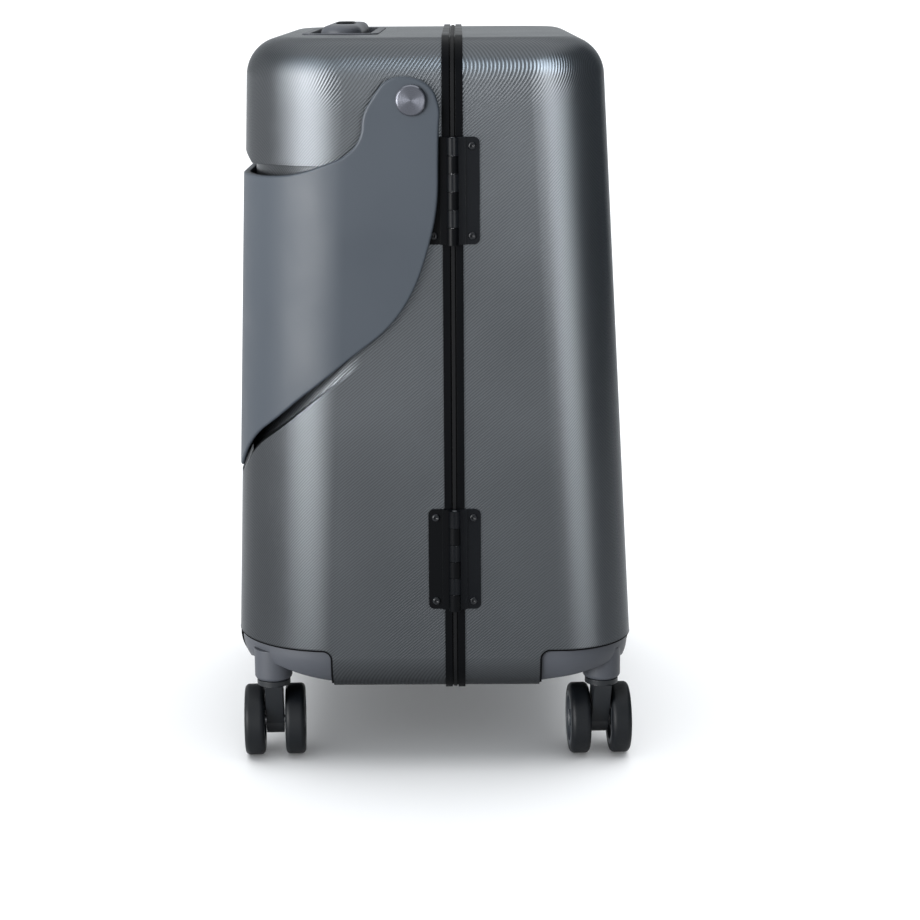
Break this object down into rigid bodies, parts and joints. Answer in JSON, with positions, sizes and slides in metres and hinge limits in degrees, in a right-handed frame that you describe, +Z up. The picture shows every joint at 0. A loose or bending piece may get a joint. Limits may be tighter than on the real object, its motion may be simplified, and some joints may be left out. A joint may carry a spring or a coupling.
{
  "type": "ride on suitcase",
  "caption": "Hard-shell child's suitcase on swivel casters, with a fold-over seat panel that becomes a back rest, a framed hinged lid and a telescopic pull handle.",
  "frame": {"origin": "on the floor, under the middle of the case's bounding box", "axes": "+Z up; -X towards the front with the seat panel; -Y towards the hinge side that the picture shows"},
  "size_m": [0.2544, 0.3423, 0.4659],
  "materials": {
    "shell_polycarbonate": "satin metallic grey, fine diagonal grooves",
    "seat_plastic": "smooth matte blue-grey",
    "frame_alloy": "matte black anodised",
    "hinge_steel": "satin black",
    "bright_steel": "turned and brushed",
    "housing_plastic": "fine-grained matte grey",
    "black_plastic": "matte black",
    "wheel_tyre": "matte charcoal",
    "hub_plastic": "satin grey",
    "seal_rubber": "matte black",
    "tube_alloy": "satin anodised",
    "lining_fabric": "fine plain weave",
    "strap_fabric": "ribbed webbing"
  },
  "bodies": {
    "front_half": {"front_shell": "shell_polycarbonate", "front_frame": "frame_alloy", "upper_hinge_front_leaf": "hinge_steel", "lower_hinge_front_leaf": "hinge_steel", "hinge_pins": "bright_steel", "front_hinge_rivets": "hinge_steel", "seat_pivot_bolts": "bright_steel", "seat_pivot_bushes": "black_plastic", "seat_pivot_nuts": "bright_steel", "latch_strikes": "hinge_steel", "handle_cup": "housing_plastic", "handle_outer_tubes": "tube_alloy", "handle_tube_base": "black_plastic", "front_divider": "lining_fabric", "front_left_housing": "housing_plastic", "front_right_housing": "housing_plastic", "front_kingpins": "bright_steel"},
    "rear_half": {"rear_shell": "shell_polycarbonate", "rear_frame": "frame_alloy", "frame_seal": "seal_rubber", "upper_hinge_rear_leaf": "hinge_steel", "lower_hinge_rear_leaf": "hinge_steel", "rear_hinge_rivets": "hinge_steel", "upper_latch_base": "hinge_steel", "lower_latch_base": "hinge_steel", "latch_pins": "bright_steel", "carry_mounts": "black_plastic", "rear_lining": "lining_fabric", "packing_straps": "strap_fabric", "strap_buckles": "black_plastic", "rear_left_housing": "housing_plastic", "rear_right_housing": "housing_plastic", "rear_kingpins": "bright_steel"},
    "seat": {"seat_panel": "seat_plastic"},
    "handle_middle": {"handle_middle_tubes": "tube_alloy"},
    "handle_inner": {"handle_inner_tubes": "tube_alloy", "handle_grip": "housing_plastic"},
    "button": {"handle_button": "black_plastic", "handle_push_rods": "tube_alloy"},
    "carry": {"carry_handle": "black_plastic", "carry_heads": "bright_steel"},
    "upper_lever": {"upper_latch_lever": "hinge_steel"},
    "lower_lever": {"lower_latch_lever": "hinge_steel"},
    "front_left_swivel": {"front_left_fork": "black_plastic"},
    "front_left_wheels": {"front_left_axle": "bright_steel", "front_left_tyres": "wheel_tyre", "front_left_hubs": "hub_plastic"},
    "front_right_swivel": {"front_right_fork": "black_plastic"},
    "front_right_wheels": {"front_right_axle": "bright_steel", "front_right_tyres": "wheel_tyre", "front_right_hubs": "hub_plastic"},
    "rear_left_swivel": {"rear_left_fork": "black_plastic"},
    "rear_left_wheels": {"rear_left_axle": "bright_steel", "rear_left_tyres": "wheel_tyre", "rear_left_hubs": "hub_plastic"},
    "rear_right_swivel": {"rear_right_fork": "black_plastic"},
    "rear_right_wheels": {"rear_right_axle": "bright_steel", "rear_right_tyres": "wheel_tyre", "rear_right_hubs": "hub_plastic"}
  },
  "joints": [
    {"name": "case_open", "type": "hinge", "parent": "front_half", "child": "rear_half", "pos_m": [0.01397, -0.16725, 0.37], "axis": [0, 0, -1], "range_deg": [0, 170]},
    {"name": "seat_fold", "type": "hinge", "parent": "front_half", "child": "seat", "pos_m": [-0.01043, 0, 0.4238], "axis": [0, 1, 0], "range_deg": [0, 185]},
    {"name": "handle_first_stage", "type": "slide", "parent": "front_half", "child": "handle_middle", "axis": [0, 0, 1], "range_m": [0, 0.27]},
    {"name": "handle_second_stage", "type": "slide", "parent": "handle_middle", "child": "handle_inner", "axis": [0, 0, 1], "range_m": [0, 0.27]},
    {"name": "button_press", "type": "slide", "parent": "handle_inner", "child": "button", "axis": [0, 0, -1], "range_m": [0, 0.004], "stiffness_N_per_m": 400},
    {"name": "carry_pull", "type": "slide", "parent": "rear_half", "child": "carry", "axis": [0, 1, 0], "range_m": [0, 0.016]},
    {"name": "upper_latch_open", "type": "hinge", "parent": "rear_half", "child": "upper_lever", "pos_m": [0.04077, 0.16815, 0.37], "axis": [0, 0, -1], "range_deg": [0, 100]},
    {"name": "lower_latch_open", "type": "hinge", "parent": "rear_half", "child": "lower_lever", "pos_m": [0.04077, 0.16815, 0.142], "axis": [0, 0, -1], "range_deg": [0, 100]},
    {"name": "front_left_swivel_turn", "type": "hinge", "parent": "front_half", "child": "front_left_swivel", "pos_m": [-0.10303, -0.134, 0.0557], "axis": [0, 0, 1], "continuous": true},
    {"name": "front_left_wheel_spin", "type": "hinge", "parent": "front_left_swivel", "child": "front_left_wheels", "pos_m": [-0.10371, -0.12102, 0.023], "axis": [0.9986, 0.0523, 0], "continuous": true},
    {"name": "front_right_swivel_turn", "type": "hinge", "parent": "front_half", "child": "front_right_swivel", "pos_m": [-0.10303, 0.134, 0.0557], "axis": [0, 0, 1], "continuous": true},
    {"name": "front_right_wheel_spin", "type": "hinge", "parent": "front_right_swivel", "child": "front_right_wheels", "pos_m": [-0.1019, 0.14695, 0.023], "axis": [0.9962, -0.0872, 0], "continuous": true},
    {"name": "rear_left_swivel_turn", "type": "hinge", "parent": "rear_half", "child": "rear_left_swivel", "pos_m": [0.10767, -0.134, 0.0557], "axis": [0, 0, 1], "continuous": true},
    {"name": "rear_left_wheel_spin", "type": "hinge", "parent": "rear_left_swivel", "child": "rear_left_wheels", "pos_m": [0.10699, -0.12102, 0.023], "axis": [0.9986, 0.0523, 0], "continuous": true},
    {"name": "rear_right_swivel_turn", "type": "hinge", "parent": "rear_half", "child": "rear_right_swivel", "pos_m": [0.10767, 0.134, 0.0557], "axis": [0, 0, 1], "continuous": true},
    {"name": "rear_right_wheel_spin", "type": "hinge", "parent": "rear_right_swivel", "child": "rear_right_wheels", "pos_m": [0.10676, 0.14697, 0.023], "axis": [0.9976, 0.0698, 0], "continuous": true}
  ]
}
